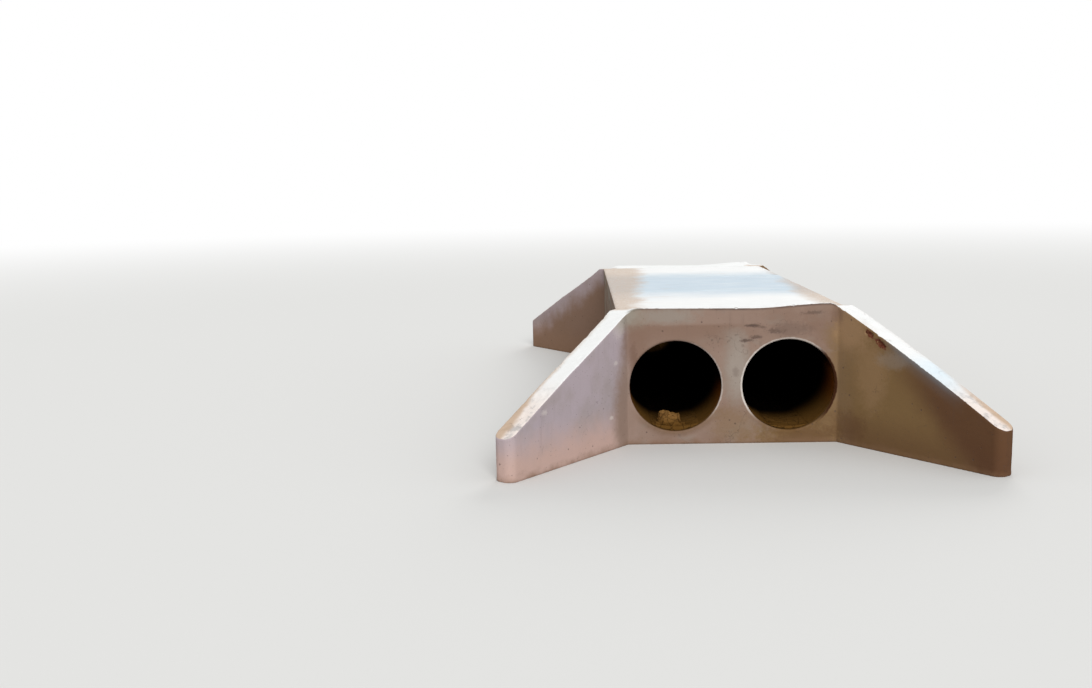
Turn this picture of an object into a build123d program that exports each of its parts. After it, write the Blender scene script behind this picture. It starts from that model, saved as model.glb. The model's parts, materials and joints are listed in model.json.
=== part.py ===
# Twin pipe culvert with a headwall and splayed wing walls at each end, from ground level up.
# Millimetres. X runs along the headwalls, +Y from the front headwall to the rear one, +Z up.
# The origin is at ground level, halfway between the two headwalls. Left and right are as seen
# by someone who faces the front headwall.
from build123d import *
from math import cos, radians, sin, tan
import os

# Precast pipes: plain round concrete with tongue-and-groove ends, pointed with mortar
pipe_bore = 1000
pipe_wall = 100
pipe_length = 2000
pipes_per_barrel = 3
pipe_gap = 40
tongue_length = 50
tongue_thickness = 45
joint_mortar = 4
tongue_end_gap = 8

# Headwalls
wall_thickness = 250
wall_height = 1500
invert_height = 150
face_margin = 25
seat_cover = 10
arris_chamfer = 10

# A swell that the trowel left in the top of each headwall, near its right fold
swell_height = 52
swell_back_height = 1
swell_length = 700
swell_crest_to_fold = 145
swell_end_to_fold = 16
swell_fall = 0.6

# Wing walls: splayed from the line of the headwall, their tops falling to a rounded tip
wing_splay = 52
wing_length = 1970
wing_tip_height = 440
tip_rounding = 100

# Concrete round the pipes, poured in two lifts, and the deck slab over it. The upper lift
# and the deck are poured in bays.
crown_cover = 50
bay_joint = 3
lift_ledge = 6
seat_clearance = 0.3

# What follows from them
bore_radius = pipe_bore / 2
outer_radius = bore_radius + pipe_wall
seat_radius = outer_radius + seat_clearance
barrel_offset = outer_radius + pipe_gap / 2
axis_height = invert_height + bore_radius
splay = radians(wing_splay)
# The pipes stop short of the face, so that their seats clear the roots of the splayed wings
mouth_depth = (pipe_wall + seat_clearance + seat_cover - face_margin) / tan(splay)
pipe_seat_depth = wall_thickness - mouth_depth
overall_length = pipes_per_barrel * pipe_length + 2 * mouth_depth
front_face = -overall_length / 2
fill_start = front_face + wall_thickness
face_half_width = barrel_offset + bore_radius + face_margin
back_corner = face_half_width + wall_thickness * (1 - cos(splay)) / sin(splay)
deck_underside = axis_height + outer_radius + crown_cover


def face_plane(section_y):
    """An upright plane across the culvert, seen from the front: x to the right, y up."""
    return Plane(origin=(0, section_y, 0), x_dir=(1, 0, 0), z_dir=(0, -1, 0))


def barrel_cylinder(radius, start_y, length, offset):
    """A cylinder along +Y on the axis of one barrel."""
    plane = Plane(origin=(offset, start_y, axis_height), x_dir=(1, 0, 0), z_dir=(0, 1, 0))
    return plane * Cylinder(radius, length, align=(Align.CENTER, Align.CENTER, Align.MIN))


def front_edges(shape):
    """Edges that lie in the front face of the front headwall."""
    return shape.edges().filter_by(
        lambda edge: all(
            abs((edge @ share).Y - front_face) < 0.001 for share in (0, 0.5, 1)
        )
    )


def headwall_plan():
    """Outline from above: level front face, shoulders square to the wings, back face."""
    right = [
        (face_half_width, front_face),
        (
            face_half_width + wall_thickness * sin(splay),
            front_face + wall_thickness * cos(splay),
        ),
        (back_corner, front_face + wall_thickness),
    ]
    left = [(-x, y) for x, y in reversed(right)]
    return make_face(Polyline(*right, *left, close=True))


def swell_section(section_y, height):
    """The swell's outline at one depth: it leaves the level top smoothly and drops at the fold."""
    crest = (face_half_width - swell_crest_to_fold, wall_height + height)
    end = (face_half_width - swell_end_to_fold, wall_height)
    start = (end[0] - swell_length, wall_height)
    falling = (1, -swell_fall * height / swell_height)
    outline = Spline(start, crest, end, tangents=((1, 0), falling)) + Line(end, start)
    return face_plane(section_y) * make_face(outline)


def top_swell():
    """The swell: highest at the face, and almost gone where the deck slab begins."""
    front = swell_section(front_face, swell_height)
    back = swell_section(front_face + wall_thickness, swell_back_height)
    return loft([front, back])


def front_headwall():
    """The front headwall: two round mouths and, behind them, the seats of the pipes."""
    wall = extrude(headwall_plan(), wall_height) + top_swell()
    top_arrises = [
        edge for edge in front_edges(wall) if edge.center().Z > wall_height - 1
    ]
    wall = chamfer(top_arrises, arris_chamfer)
    for offset in (-barrel_offset, barrel_offset):
        mouth = barrel_cylinder(bore_radius, front_face, wall_thickness, offset)
        seat = barrel_cylinder(
            seat_radius, front_face + mouth_depth, pipe_seat_depth, offset
        )
        wall = wall - mouth - seat
    return wall


def right_wing_wall():
    """The front right wing, which starts square at the fold of the face."""
    along = Vector(cos(splay), -sin(splay), 0)
    across = Vector(sin(splay), cos(splay), 0)
    fold = Vector(face_half_width, front_face, 0)
    side = Polyline(
        (0, 0),
        (wing_length, 0),
        (wing_length, wing_tip_height),
        (0, wall_height),
        close=True,
    )
    plane = Plane(origin=fold, x_dir=along, z_dir=-across)
    wing = extrude(plane * make_face(side), -wall_thickness)
    tip_corners = wing.edges().filter_by(Axis.Z).sort_by(Axis(fold, along))[-2:]
    wing = fillet(tip_corners, tip_rounding)
    sloping_top = wing.faces().sort_by(Axis.Z)[-1]
    long_arrises = sloping_top.edges().sort_by(SortBy.LENGTH)[-2:]
    return chamfer(long_arrises, arris_chamfer)


def mirrored_left(shape):
    return mirror(shape, about=Plane.YZ)


def mirrored_to_rear(shape):
    return mirror(shape, about=Plane.XZ)


def pipe(number, offset):
    """One pipe, with a groove towards the front and a tongue towards the rear.

    The first and the last pipe of a barrel have plain ends where a headwall holds them.
    """
    start = front_face + mouth_depth + (number - 1) * pipe_length
    end = start + pipe_length
    tongue_end = end + tongue_length - tongue_end_gap
    groove_radius = bore_radius + tongue_thickness + joint_mortar
    front_end = [(bore_radius, start)]
    rear_end = [(bore_radius, end)]
    if number > 1:
        front_end = [
            (groove_radius, start),
            (groove_radius, start + tongue_length),
            (bore_radius, start + tongue_length),
        ]
    if number < pipes_per_barrel:
        rear_end = [
            (bore_radius, tongue_end),
            (bore_radius + tongue_thickness, tongue_end),
            (bore_radius + tongue_thickness, end),
        ]
    wall = [(outer_radius, start), *front_end, *rear_end, (outer_radius, end)]
    profile = Pos(offset, 0, axis_height) * make_face(Polyline(*wall, close=True))
    return revolve(profile, Axis((offset, 0, axis_height), (0, 1, 0)))


def bay_span(number):
    """Where one bay starts and ends. The bay joints line up with the joints of the pipes."""
    start = front_face + mouth_depth + (number - 1) * pipe_length + bay_joint / 2
    end = start + pipe_length - bay_joint
    if number == 1:
        start = fill_start
    if number == pipes_per_barrel:
        end = -fill_start
    return start, end


def block(half_width, span, bottom, top):
    """A plain block along one stretch of the culvert."""
    start, end = span
    base = Rectangle(2 * half_width, end - start, align=(Align.CENTER, Align.MIN))
    return extrude(Pos(0, start, bottom) * base, top - bottom)


def around_pipes(concrete, span):
    """The concrete with room for both barrels."""
    start, end = span
    for offset in (-barrel_offset, barrel_offset):
        concrete -= barrel_cylinder(seat_radius, start, end - start, offset)
    return concrete


def lower_fill():
    """First lift, in one pour: the bed under the pipes and the haunches up to their middle."""
    span = (fill_start, -fill_start)
    return around_pipes(block(back_corner, span, 0, axis_height), span)


def upper_fill(span):
    """One bay of the second lift, set in by the ledge of its form, up to the deck."""
    half_width = back_corner - lift_ledge
    return around_pipes(block(half_width, span, axis_height, deck_underside), span)


def deck_slab(span):
    """One bay of the deck, level with the headwalls, its long top arrises chamfered."""
    slab = block(back_corner, span, deck_underside, wall_height)
    top = slab.faces().sort_by(Axis.Z)[-1]
    return chamfer(top.edges().filter_by(Axis.Y), arris_chamfer)


def build():
    """All the pieces by name."""
    right_wing = right_wing_wall()
    front_end = {
        "headwall": front_headwall(),
        "left_wing_wall": mirrored_left(right_wing),
        "right_wing_wall": right_wing,
    }
    pieces = {"lower_fill": lower_fill()}
    for name, shape in front_end.items():
        pieces[f"front_{name}"] = shape
        pieces[f"rear_{name}"] = mirrored_to_rear(shape)
    for number in range(1, pipes_per_barrel + 1):
        span = bay_span(number)
        pieces[f"upper_fill_{number}"] = upper_fill(span)
        pieces[f"deck_slab_{number}"] = deck_slab(span)
        pieces[f"left_pipe_{number}"] = pipe(number, -barrel_offset)
        pieces[f"right_pipe_{number}"] = pipe(number, barrel_offset)
    return pieces


os.makedirs("parts", exist_ok=True)
for name, shape in build().items():
    export_step(shape, f"parts/{name}.step")
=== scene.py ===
"""A twin pipe culvert with splayed wing walls: its concrete cast, weathered, with light and shade
painted into parts of its colour, and set on a pale floor.
"""

import json
import math
import random

import bmesh
import bpy
from mathutils import Matrix, Vector, noise


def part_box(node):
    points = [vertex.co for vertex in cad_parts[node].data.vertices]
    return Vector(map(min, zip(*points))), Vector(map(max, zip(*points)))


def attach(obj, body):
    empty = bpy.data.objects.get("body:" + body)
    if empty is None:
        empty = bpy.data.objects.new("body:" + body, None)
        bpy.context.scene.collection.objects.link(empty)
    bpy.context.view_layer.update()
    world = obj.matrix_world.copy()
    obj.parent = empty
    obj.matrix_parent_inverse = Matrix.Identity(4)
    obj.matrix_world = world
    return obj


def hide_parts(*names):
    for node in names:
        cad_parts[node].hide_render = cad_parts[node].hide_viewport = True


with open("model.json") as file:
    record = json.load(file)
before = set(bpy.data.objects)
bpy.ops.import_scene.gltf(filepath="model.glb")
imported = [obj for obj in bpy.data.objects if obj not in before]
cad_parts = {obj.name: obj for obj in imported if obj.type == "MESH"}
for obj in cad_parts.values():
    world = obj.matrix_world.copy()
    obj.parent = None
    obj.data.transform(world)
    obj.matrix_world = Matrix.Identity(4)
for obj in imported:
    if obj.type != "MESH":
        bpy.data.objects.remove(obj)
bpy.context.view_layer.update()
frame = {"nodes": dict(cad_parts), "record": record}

bl_info = {
    "name": "Culvert Headwall",
    "version": (1, 0, 0),
    "blender": (4, 5, 0),
    "location": "View3D > Sidebar > Culvert",
    "description": "Casts and weathers a twin pipe culvert with splayed wing walls",
    "category": "Add Mesh",
}

# Places read from the frame, in metres
WALL_LOW, WALL_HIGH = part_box("front_headwall")
_, DECK_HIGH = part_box("deck_slab_1")
PIPE_LOW, PIPE_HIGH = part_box("right_pipe_1")
MOUNTS = {mount["name"]: mount for mount in frame["record"]["mounts"]}
FRONT = WALL_LOW.y
HALF_LENGTH = -FRONT
DECK_TOP = DECK_HIGH.z
BACK_CORNER = DECK_HIGH.x
WALL_THICKNESS = WALL_HIGH.y - WALL_LOW.y
WALL_BACK = FRONT + WALL_THICKNESS
BARREL_X = MOUNTS["right_barrel"]["pos_m"][0]
BARREL_Z = MOUNTS["right_barrel"]["pos_m"][2]
BORE_RADIUS = MOUNTS["right_barrel"]["dims"]["r_mm"] / 1000
INVERT = BARREL_Z - BORE_RADIUS
MOUTH_DEPTH = PIPE_LOW.y - FRONT

# Seats of the pipes, with their clearance in metres
SEAT_CLEARANCE = 0.0003
SEAT_RADIUS = (PIPE_HIGH.x - PIPE_LOW.x) / 2 + SEAT_CLEARANCE

# Bays of the deck, each over one pipe of a barrel, and the way along X to each side
BAYS = 3
SIDES = (("left", -1), ("right", 1))

# Corners of a round shape
ROUND = 144

# Share of the faces kept after each kind of cast
KEPT = {"front": 0.50, "rear": 0.55, "deck": 0.45, "silt": 0.35}

# Height of the line left across the face by the joint between two forms
LINE_HEIGHT = 1.335

# Hollows broken out of the front right wing: run, depth below the top, half of the length,
# half of the height and depth, in metres
SPALLS = (
    (0.41, 0.070, 0.045, 0.030, 0.012),
    (0.55, 0.088, 0.060, 0.034, 0.014),
)

# Silt in each barrel: its depth along the invert, in metres
SILT_DEPTHS = {"left": 0.050, "right": 0.034}

# Lumps of mud in the left mouth: place, reach each way, in metres, and seed
LUMPS = {
    "mud_clod": ((-0.672, FRONT + 0.17, INVERT + 0.085), (0.200, 0.140, 0.150), 5),
    "mud_crumb_1": ((-0.815, FRONT + 0.10, INVERT + 0.062), (0.055, 0.050, 0.040), 7),
    "mud_crumb_2": ((-0.545, FRONT + 0.11, INVERT + 0.055), (0.060, 0.050, 0.045), 11),
    "mud_crumb_3": ((-0.57, FRONT + 0.30, INVERT + 0.060), (0.045, 0.040, 0.030), 13),
}

# The ways that the three flat faces of a lump look: its top and two sides
FLAT_WAYS = ((0.22, 0.1, 1), (1, 0, 0.25), (-1, 0, 0.35))

# Stains on the front, among them painted shade and painted light by the folds: centre, with its Y
# measured from the face, reach, colour, strength, raggedness and grain, in metres
STAINS = (
    ((-1.14, -0.04, 1.42), (0.24, 0.24, 0.17), "moss_grey", 0.80, 0.3, 0.12),
    ((-0.72, 0, 1.43), (0.36, 0.10, 0.11), "face_grey", 0.85, 0.4, 0.12),
    # Painted shade: darker grey brown on the left wing by the fold, most toward the foot
    ((-1.17, -0.05, 0.34), (0.22, 0.26, 0.78), "face", 0.95, 0.2, 0.20),
    ((-1.06, 0, 1.12), (0.19, 0.16, 0.32), "face_warm", 0.80, 0.3, 0.16),
    ((-1.08, 0, 0.95), (0.05, 0.10, 0.20), "umber", 0.30, 0.6, 0.08),
    # Painted highlight: paler on the left wing by the top of the fold
    ((-1.25, -0.13, 1.33), (0.12, 0.14, 0.14), "rim", 0.26, 0.4, 0.10),
    ((0.00, 0, 1.22), (0.17, 0.15, 0.10), "face_grey", 0.25, 0.5, 0.12),
    ((0.05, 0, 0.84), (0.18, 0.15, 0.46), "face_grey", 0.78, 0.3, 0.16),
    ((0.07, 0, 0.84), (0.13, 0.15, 0.34), "rim", 0.09, 0.4, 0.12),
    ((0.00, 0, 0.22), (0.30, 0.15, 0.24), "olive", 0.45, 0.5, 0.12),
    ((0.52, 0, 1.42), (0.34, 0.15, 0.10), "face_warm", 0.45, 0.5, 0.12),
    ((0.98, 0, 1.38), (0.26, 0.10, 0.20), "face_warm", 0.50, 0.4, 0.12),
    ((1.14, 0, 1.42), (0.08, 0.10, 0.14), "umber", 0.30, 0.5, 0.10),
    ((0.64, 0, 1.26), (0.28, 0.10, 0.09), "soot_and_shade", 0.32, 0.6, 0.10),
    ((1.10, 0, 1.20), (0.14, 0.10, 0.17), "olive", 0.40, 0.4, 0.14),
    ((0.72, 0, 0.06), (0.68, 0.15, 0.19), "olive", 0.92, 0.4, 0.14),
    ((1.04, 0, 0.24), (0.24, 0.15, 0.26), "olive", 0.85, 0.4, 0.12),
    ((0.82, 0, 0.06), (0.50, 0.15, 0.16), "umber", 0.45, 0.6, 0.12),
    ((1.18, 0, 0.72), (0.22, 0.30, 0.60), "olive", 0.60, 0.4, 0.14),
    # Painted light: paler brown on the wing side of the right fold
    ((1.26, -0.13, 1.24), (0.22, 0.28, 0.22), "tawny_and_lit", 0.80, 0.4, 0.14),
    ((1.42, -0.35, 0.80), (0.22, 0.26, 0.42), "tawny_and_lit", 0.45, 0.4, 0.14),
    ((1.24, -0.12, 0.22), (0.22, 0.28, 0.20), "umber", 0.40, 0.6, 0.10),
    ((1.58, -0.55, 0.99), (0.19, 0.24, 0.11), "face_grey", 0.38, 0.4, 0.12),
    ((0.24, 0, 1.312), (0.10, 0.06, 0.020), "soot_and_shade", 0.85, 0.9, 0.05),
    ((0.33, 0, 1.295), (0.05, 0.06, 0.016), "soot_and_shade", 0.50, 0.9, 0.05),
    ((0.15, 0, 1.150), (0.075, 0.06, 0.022), "soot_and_shade", 0.80, 0.9, 0.05),
    ((0.26, 0, 1.185), (0.085, 0.06, 0.024), "soot_and_shade", 0.70, 0.9, 0.05),
    ((0.47, 0, 1.250), (0.11, 0.06, 0.030), "soot_and_shade", 0.50, 0.9, 0.05),
    ((0.88, 0, 1.445), (0.13, 0.06, 0.022), "soot_and_shade", 0.50, 0.9, 0.06),
    ((0.04, 0, 0.80), (0.045, 0.06, 0.070), "soot_and_shade", 0.30, 0.8, 0.05),
    ((-1.33, -0.24, 0.36), (0.035, 0.05, 0.024), "rim", 0.50, 0.9, 0.04),
    ((-1.28, -0.17, 0.95), (0.035, 0.05, 0.030), "rim", 0.40, 0.9, 0.04),
    ((-2.03, -1.13, 0.62), (0.05, 0.06, 0.030), "rim", 0.40, 0.9, 0.04),
)


# Sizes, colours and levels that a user would change


def tone(*levels):
    """A display colour of 0 to 255 as the linear colour that a material holds."""

    def linear(level):
        share = level / 255
        return share / 12.92 if share <= 0.04045 else ((share + 0.055) / 1.055) ** 2.4

    return tuple(linear(level) for level in levels)


def size_property(name, description, metres):
    return bpy.props.FloatProperty(
        name=name, description=description, default=metres, unit="LENGTH", precision=4
    )


def angle_property(name, description, degrees):
    return bpy.props.FloatProperty(
        name=name, description=description, default=math.radians(degrees), subtype="ANGLE"
    )


def level_property(name, description, level):
    return bpy.props.FloatProperty(name=name, description=description, default=level)


def colour_property(name, description, *levels):
    return bpy.props.FloatVectorProperty(
        name=name,
        description=description,
        default=tone(*levels),
        subtype="COLOR",
        size=3,
        min=0,
        max=1,
    )


class CulvertSizes(bpy.types.PropertyGroup):
    """Sizes of the walls and of the boards that shuttered the concrete."""

    splay: angle_property("Splay", "Angle between the headwall and a wing", 52)
    wing_length: size_property("Wing length", "From the fold to the tip", 1.97)
    tip_height: size_property("Tip height", "Height of a wing at its tip", 0.44)
    tip_rounding: size_property("Tip rounding", "Radius of the upright corners of a tip", 0.10)
    arris: size_property("Arris", "Width that the top edges are rubbed down by", 0.012)
    mouth_arris: size_property("Mouth arris", "Width of the worn edge of a mouth", 0.018)
    hump_height: size_property("Hump height", "Rise of the hump in a headwall", 0.044)
    hump_length: size_property("Hump length", "From the start of the hump to the fold", 0.93)
    hump_crest: size_property("Hump crest", "From the crest of the hump to the fold", 0.10)
    left_rise: size_property("Left rise", "Rise of the top near the left fold", 0.035)
    left_sink: size_property("Left sink", "Sink of the top at the left fold", 0.022)
    left_corner: size_property("Left corner", "Width over which the left fold sinks", 0.145)
    right_rise: size_property("Right rise", "Rise of the top at the right fold", 0.014)
    settling: size_property("Settling", "Run over which the sink dies out on a left wing", 1.00)
    leaning: size_property("Leaning", "Run over which the top of a wing turns level across", 0.30)
    bow: size_property("Bow", "Rise of the right wings above a straight slope", 0.030)
    board_height: size_property("Board height", "Width of one shutter board", 0.16)
    board_fin: size_property("Board fin", "Half of the mortar fin between two boards", 0.004)


class CulvertCasting(bpy.types.PropertyGroup):
    """How finely the concrete is cast and how uneven it is."""

    front_grid: size_property("Front grid", "Grid of the front end", 0.010)
    rear_grid: size_property("Rear grid", "Grid of the rear end", 0.014)
    deck_grid: size_property("Deck grid", "Grid of the deck", 0.016)
    silt_grid: size_property("Silt grid", "Grid of the silt", 0.011)
    form_sag: size_property("Form sag", "Depth of the wide waves", 0.005)
    hand_waves: size_property("Hand waves", "Depth of the waves left by hand", 0.0025)
    roughness: size_property("Roughness", "Depth of the smallest waves", 0.0012)
    chips: size_property("Chips", "Depth of the chips in the top edges", 0.006)
    overrun: size_property("Overrun", "How far a cast runs past its seam before it is cut", 0.05)


class CulvertColours(bpy.types.PropertyGroup):
    """Colours of the concrete and of the dirt on it, with light and shade painted into some of them."""

    face: colour_property("Face", "Headwall face", 157, 133, 119)
    face_warm: colour_property("Warm face", "Warmer, browner areas of the face", 140, 113, 97)
    face_grey: colour_property("Grey face", "Greyer areas of the face", 158, 147, 136)
    moss_grey: colour_property("Moss grey", "Greenish grey near the left fold", 158, 152, 138)
    # Lilac grey of the left wing: its own tone, written lighter as the wing looks lit
    lilac: colour_property("Lilac grey", "Face of the left wing", 190, 177, 184)
    # Olive brown: on the right wing its own tone, written darker as the wing looks shaded
    olive: colour_property("Olive brown", "Face of the right wing", 136, 108, 70)
    # Paler brown by the right fold, partly painted light against the shade that the lamps give the
    # turned wing
    tawny_and_lit: colour_property("Tawny", "Paler brown by the right fold", 166, 134, 100)
    # Dark brown: the right wing grows darker toward its end and top, and toward its foot
    umber: colour_property("Umber", "Damp end of the right wing", 98, 65, 44)
    # Rubbed edge of the right wing, and also the painted sheen of the sky just under its top edge
    steel_grey_and_sheen: colour_property("Steel grey", "Rubbed edge of the right wing", 128, 133, 138)
    # Trowelled tops: a clean finish, painted near white as they look in sunlight
    trowelled_sunlit: colour_property("Trowelled", "Trowelled tops", 248, 249, 248)
    trowelled_cool: colour_property("Cool trowelled", "Bluish areas of the tops", 228, 242, 250)
    deck_cool: colour_property("Cool deck", "Bluish grey middle of the deck", 204, 219, 230)
    speck: colour_property("Speck", "Specks of sand in the tops", 176, 168, 158)
    scuffed: colour_property("Scuffed", "Scuffed tops near the tips", 242, 226, 216)
    dust: colour_property("Dust", "Dry soil on the tops", 196, 166, 136)
    # Pinkish soil dust on the foot of the left wing, which is also the painted glow of light from red
    # soil
    pink_dust_and_glow: colour_property("Pink dust", "Dry soil on the foot of the left wing", 216, 182, 168)
    soil: colour_property("Soil", "Splashed soil", 134, 103, 78)
    rust: colour_property("Rust", "Reddish stain of a spall", 104, 54, 36)
    # Dark smudges; the same colour is also the painted shadow under the top edge and the painted shade
    # in air pits
    soot_and_shade: colour_property("Soot", "Dark smudges", 92, 75, 68)
    # Worn rims of the mouths; also pale spots and a painted highlight by the left fold
    rim: colour_property("Rim", "Worn rims of the mouths", 236, 228, 220)
    rusty_rim: colour_property("Rusty rim", "Outer edge of the right mouth", 66, 34, 10)
    # Wall of the pipes, written near black as the shade deep inside them
    bore: colour_property("Bore", "Damp wall of the pipes", 4, 3, 2)
    bore_rust: colour_property("Bore rust", "Reddish dirt by the mouths", 108, 60, 20)
    mud: colour_property("Mud", "Mud in the pipes", 106, 75, 35)
    dry_mud: colour_property("Dry mud", "Dry crust of the mud", 146, 108, 62)
    mud_crack: colour_property("Mud crack", "Cracks in the mud", 30, 20, 12)
    cast_grey: colour_property("Cast grey", "Concrete round the pipes", 150, 139, 127)
    mortar: colour_property("Mortar", "Pointing of the joints", 150, 140, 128)
    floor: colour_property("Floor", "Studio floor", 228, 228, 226)
    bounce: colour_property("Bounce", "Studio floor as it lights the walls", 148, 143, 138)


class CulvertStage(bpy.types.PropertyGroup):
    """Camera and lamps."""

    focal_length: bpy.props.FloatProperty(
        name="Focal length", description="Focal length of the camera", default=35.77, unit="CAMERA"
    )
    camera_place: bpy.props.FloatVectorProperty(
        name="Camera place",
        description="Where the camera stands",
        default=(-1.66, -14.857, 2.90),
        subtype="TRANSLATION",
    )
    yaw: angle_property("Yaw", "Turn of the camera away from the line of the barrels", -1.84)
    pitch: angle_property("Pitch", "Angle of the view above the horizon", -8.45)
    roll: angle_property("Roll", "Tilt of the camera about its own view", -1.20)
    sky: level_property("Sky", "Strength of the light from all round", 0.60)
    key: level_property("Key", "Level of the key lamp on a face turned to it", 0.56)
    key_azimuth: angle_property("Key azimuth", "Way round to the key lamp from the front", 10)
    key_elevation: angle_property("Key elevation", "Height of the key lamp in the sky", 30)
    fill: level_property("Fill", "Level of the lamp from behind on a face turned to it", 0.28)
    fill_azimuth: angle_property("Fill azimuth", "Way round to the fill lamp from the front", 160)
    fill_elevation: angle_property("Fill elevation", "Height of the fill lamp in the sky", 26)
    softness: angle_property("Softness", "Angle that a lamp fills, seen from the walls", 28)


def sizes():
    return bpy.context.scene.culvert_sizes


def casting():
    return bpy.context.scene.culvert_casting


def colours():
    return bpy.context.scene.culvert_colours


def stage():
    return bpy.context.scene.culvert_stage


# Work in object mode and in edit mode


def put_down_everything():
    """Leaves edit mode and selects nothing."""
    if bpy.context.object and bpy.context.object.mode != "OBJECT":
        bpy.ops.object.mode_set(mode="OBJECT")
    bpy.ops.object.select_all(action="DESELECT")


def take(piece):
    """Makes one object the only selected and active one."""
    put_down_everything()
    piece.select_set(True)
    bpy.context.view_layer.objects.active = piece


def named(name):
    """The object just made, under its own name, with its place in its mesh."""
    piece = bpy.context.object
    piece.name = name
    piece.data.name = name
    bpy.ops.object.transform_apply(location=True, rotation=True, scale=True)
    return piece


def edit(piece):
    take(piece)
    bpy.ops.object.mode_set(mode="EDIT")


def finish_edit():
    bpy.ops.object.mode_set(mode="OBJECT")


def pick(piece, kind, test):
    """Selects the vertices, edges or faces that pass the test, in edit mode."""
    bpy.ops.mesh.select_mode(type=kind)
    bpy.ops.mesh.select_all(action="DESELECT")
    form = bmesh.from_edit_mesh(piece.data)
    found = {"VERT": form.verts, "EDGE": form.edges, "FACE": form.faces}[kind]
    picked = [element for element in found if test(element)]
    if not picked:
        raise RuntimeError(f"{piece.name}: nothing to pick")
    for element in picked:
        element.select_set(True)
    form.select_flush_mode()
    bmesh.update_edit_mesh(piece.data)


def near(point, place, reach=0.0005):
    """Whether a point lies at a place, of which a coordinate may be None for any."""
    return all(
        wanted is None or abs(got - wanted) < reach for got, wanted in zip(point, place)
    )


def modify(piece, kind, **settings):
    """Adds a modifier to the piece and applies it."""
    take(piece)
    bpy.ops.object.modifier_add(type=kind)
    modifier = piece.modifiers[-1]
    for name, value in settings.items():
        setattr(modifier, name, value)
    bpy.ops.object.modifier_apply(modifier=modifier.name)


def carve(piece, operation, tool):
    """Cuts the tool out of the piece or keeps what both share, and removes the tool."""
    modify(piece, "BOOLEAN", operation=operation, solver="EXACT", object=tool)
    bpy.data.objects.remove(tool)


def recast(piece, grid, rounds=2):
    """Recasts a piece on a fine grid and softens its edges."""
    modify(piece, "REMESH", mode="VOXEL", voxel_size=grid, adaptivity=0)
    modify(piece, "SMOOTH", factor=0.5, iterations=rounds)


def roughen(piece, name, layers, mid_level, **settings):
    """Displaces a piece by layers of clouds. A layer gives its spacing, detail and depth."""
    for spacing, detail, depth in layers:
        texture_name = f"{name}_{spacing}"
        texture = bpy.data.textures.get(texture_name)
        if texture is None:
            texture = bpy.data.textures.new(texture_name, "CLOUDS")
        texture.noise_scale = spacing
        texture.noise_depth = detail
        texture.noise_basis = "BLENDER_ORIGINAL"
        settings.update(texture=texture, strength=depth, mid_level=mid_level)
        modify(piece, "DISPLACE", texture_coords="LOCAL", **settings)


def thin_out(piece, share):
    modify(piece, "DECIMATE", decimate_type="COLLAPSE", ratio=share)


def block(name, low, high):
    """A block between two corners, as a start."""
    put_down_everything()
    low, high = Vector(low), Vector(high)
    bpy.ops.mesh.primitive_cube_add(size=1, location=(low + high) / 2, scale=high - low)
    return named(name)


def round_bar(name, radius, start, end, x, z=BARREL_Z, corners=ROUND):
    """A round bar along Y, from start to end."""
    put_down_everything()
    bpy.ops.mesh.primitive_cylinder_add(
        vertices=corners,
        radius=radius,
        depth=end - start,
        location=(x, (start + end) / 2, z),
        rotation=(math.pi / 2, 0, 0),
    )
    return named(name)


def copy_of(piece, name):
    take(piece)
    bpy.ops.object.duplicate()
    twin = bpy.context.object
    twin.name = name
    twin.data.name = name
    return twin


def split(point, way, **settings):
    """Cuts all of the mesh in edit mode at a plane."""
    bpy.ops.mesh.select_all(action="SELECT")
    bpy.ops.mesh.bisect(plane_co=point, plane_no=way, **settings)


def slice_off(piece, point, outward):
    """Cuts the piece at a plane, drops what lies outward of it and closes the cut."""
    edit(piece)
    split(point, outward, use_fill=True, clear_outer=True, threshold=1e-5)
    finish_edit()


def hand_over(piece, material, nodes=(), smooth_below=38):
    """Gives a finished piece its material, its smooth shading and its place on the frame, and hides the
    parts that it stands for.
    """
    piece.data.materials.clear()
    piece.data.materials.append(material)
    take(piece)
    bpy.ops.object.shade_smooth_by_angle(angle=math.radians(smooth_below))
    put_down_everything()
    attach(piece, "root")
    if nodes:
        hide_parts(*nodes)


# Sums that work on numbers, for meshes, and on levels, for materials


class Level:
    """A number that varies over a surface: a node's socket that sums can be done with."""

    def __init__(self, finish, socket):
        self.finish = finish
        self.socket = socket

    def __add__(self, other):
        return self.finish.sum("ADD", self, other)

    def __sub__(self, other):
        return self.finish.sum("SUBTRACT", self, other)

    def __rsub__(self, other):
        return self.finish.sum("SUBTRACT", other, self)

    def __mul__(self, other):
        return self.finish.sum("MULTIPLY", self, other)

    def __truediv__(self, number):
        return self.finish.sum("MULTIPLY", self, 1 / number)

    def __abs__(self):
        return self.finish.sum("ABSOLUTE", self)

    __radd__ = __add__
    __rmul__ = __mul__

    def mapped(self, curve, start, end, least, most):
        inputs = {"Value": self, "From Min": start, "From Max": end}
        inputs.update({"To Min": least, "To Max": most})
        made = self.finish.node("ShaderNodeMapRange", inputs, interpolation_type=curve)
        return Level(self.finish, made.outputs["Result"])


def span(value, start, end, least=0.0, most=1.0):
    """Goes evenly from least to most as the value goes from start to end, and no further."""
    if isinstance(value, Level):
        return value.mapped("LINEAR", start, end, least, most)
    share = min(max((value - start) / (end - start), 0), 1)
    return least + (most - least) * share


def ease(value, start, end, least=0.0, most=1.0):
    """Goes smoothly from least to most as the value goes from start to end, and no further."""
    if isinstance(value, Level):
        return value.mapped("SMOOTHSTEP", start, end, least, most)
    share = span(value, start, end)
    return least + (most - least) * share * share * (3 - 2 * share)


def larger(first, second):
    if isinstance(first, Level):
        return first.finish.sum("MAXIMUM", first, second)
    return max(first, second)


def is_under(value, limit):
    """1 where the value is under the limit, and 0 elsewhere."""
    if isinstance(value, Level):
        return value.finish.sum("LESS_THAN", value, limit)
    return float(value < limit)


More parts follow.
